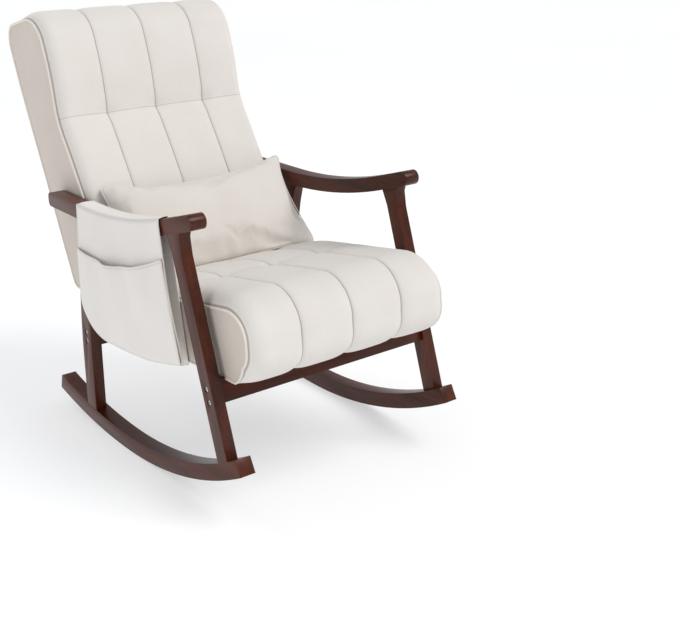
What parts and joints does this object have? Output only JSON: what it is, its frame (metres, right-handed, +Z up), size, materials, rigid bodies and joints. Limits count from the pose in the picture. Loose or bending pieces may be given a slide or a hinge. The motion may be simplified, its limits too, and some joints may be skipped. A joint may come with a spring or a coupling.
{
  "type": "nursery rocking chair",
  "caption": "Upholstered nursery rocking chair on curved wooden runners with channelled seat and back, sweeping armrests, a lumbar pillow and a saddle bag hung on an arm.",
  "frame": {"origin": "on the floor, midway between the two points where the runners touch it with the chair at rest", "axes": "+X to the sitter's left, +Y to the rear, +Z up; the sitter faces -Y"},
  "size_m": [0.6772, 1.0888, 1.0258],
  "materials": {
    "stained_wood": "dark walnut stain under satin lacquer",
    "dowel_wood": "bare beech",
    "plywood": "bare plywood",
    "zinc_steel": "bright zinc plating",
    "spring_steel": "oiled spring wire",
    "foam": "open-cell foam and fibre filling",
    "upholstery": "matt cream plain weave",
    "piping": "covered cord in the seat's cloth",
    "black_cloth": "black non-woven cloth and elastic webbing",
    "pillow_cloth": "matt cream plain weave",
    "bag_cloth": "matt cream plain weave, lined"
  },
  "bodies": {
    "frame": {"left_runner": "stained_wood", "right_runner": "stained_wood", "left_front_leg": "stained_wood", "right_front_leg": "stained_wood", "left_rear_leg": "stained_wood", "right_rear_leg": "stained_wood", "left_armrest": "stained_wood", "right_armrest": "stained_wood", "front_rail": "stained_wood", "rear_rail": "stained_wood", "leg_dowels": "dowel_wood", "rail_bolts": "zinc_steel", "rail_barrel_nuts": "zinc_steel", "seat_screws": "zinc_steel", "seat_frame": "plywood", "seat_springs": "spring_steel", "seat_spring_clips": "spring_steel", "seat_foam": "foam", "seat_cover": "upholstery", "seat_piping": "piping", "seat_dust_cloth": "black_cloth", "back_frame": "plywood", "back_webbing": "black_cloth", "back_foam": "foam", "back_cover": "upholstery", "back_piping": "piping", "back_rear_panel": "upholstery", "back_bolts": "zinc_steel", "arm_bolts": "zinc_steel", "arm_inserts": "zinc_steel"},
    "lumbar_pillow": {"pillow_cover": "pillow_cloth", "pillow_zip": "pillow_cloth", "pillow_filling": "foam"},
    "side_bag": {"bag_saddle": "bag_cloth", "bag_inner_panel": "bag_cloth", "bag_outer_panel": "bag_cloth", "bag_pocket": "bag_cloth"}
  },
  "joints": [
    {"name": "pillow_lift", "type": "slide", "parent": "frame", "child": "lumbar_pillow", "axis": [0, 0, 1], "range_m": [0, 0.3]},
    {"name": "bag_lift", "type": "slide", "parent": "frame", "child": "side_bag", "axis": [0, 0, 1], "range_m": [0, 0.35]}
  ]
}
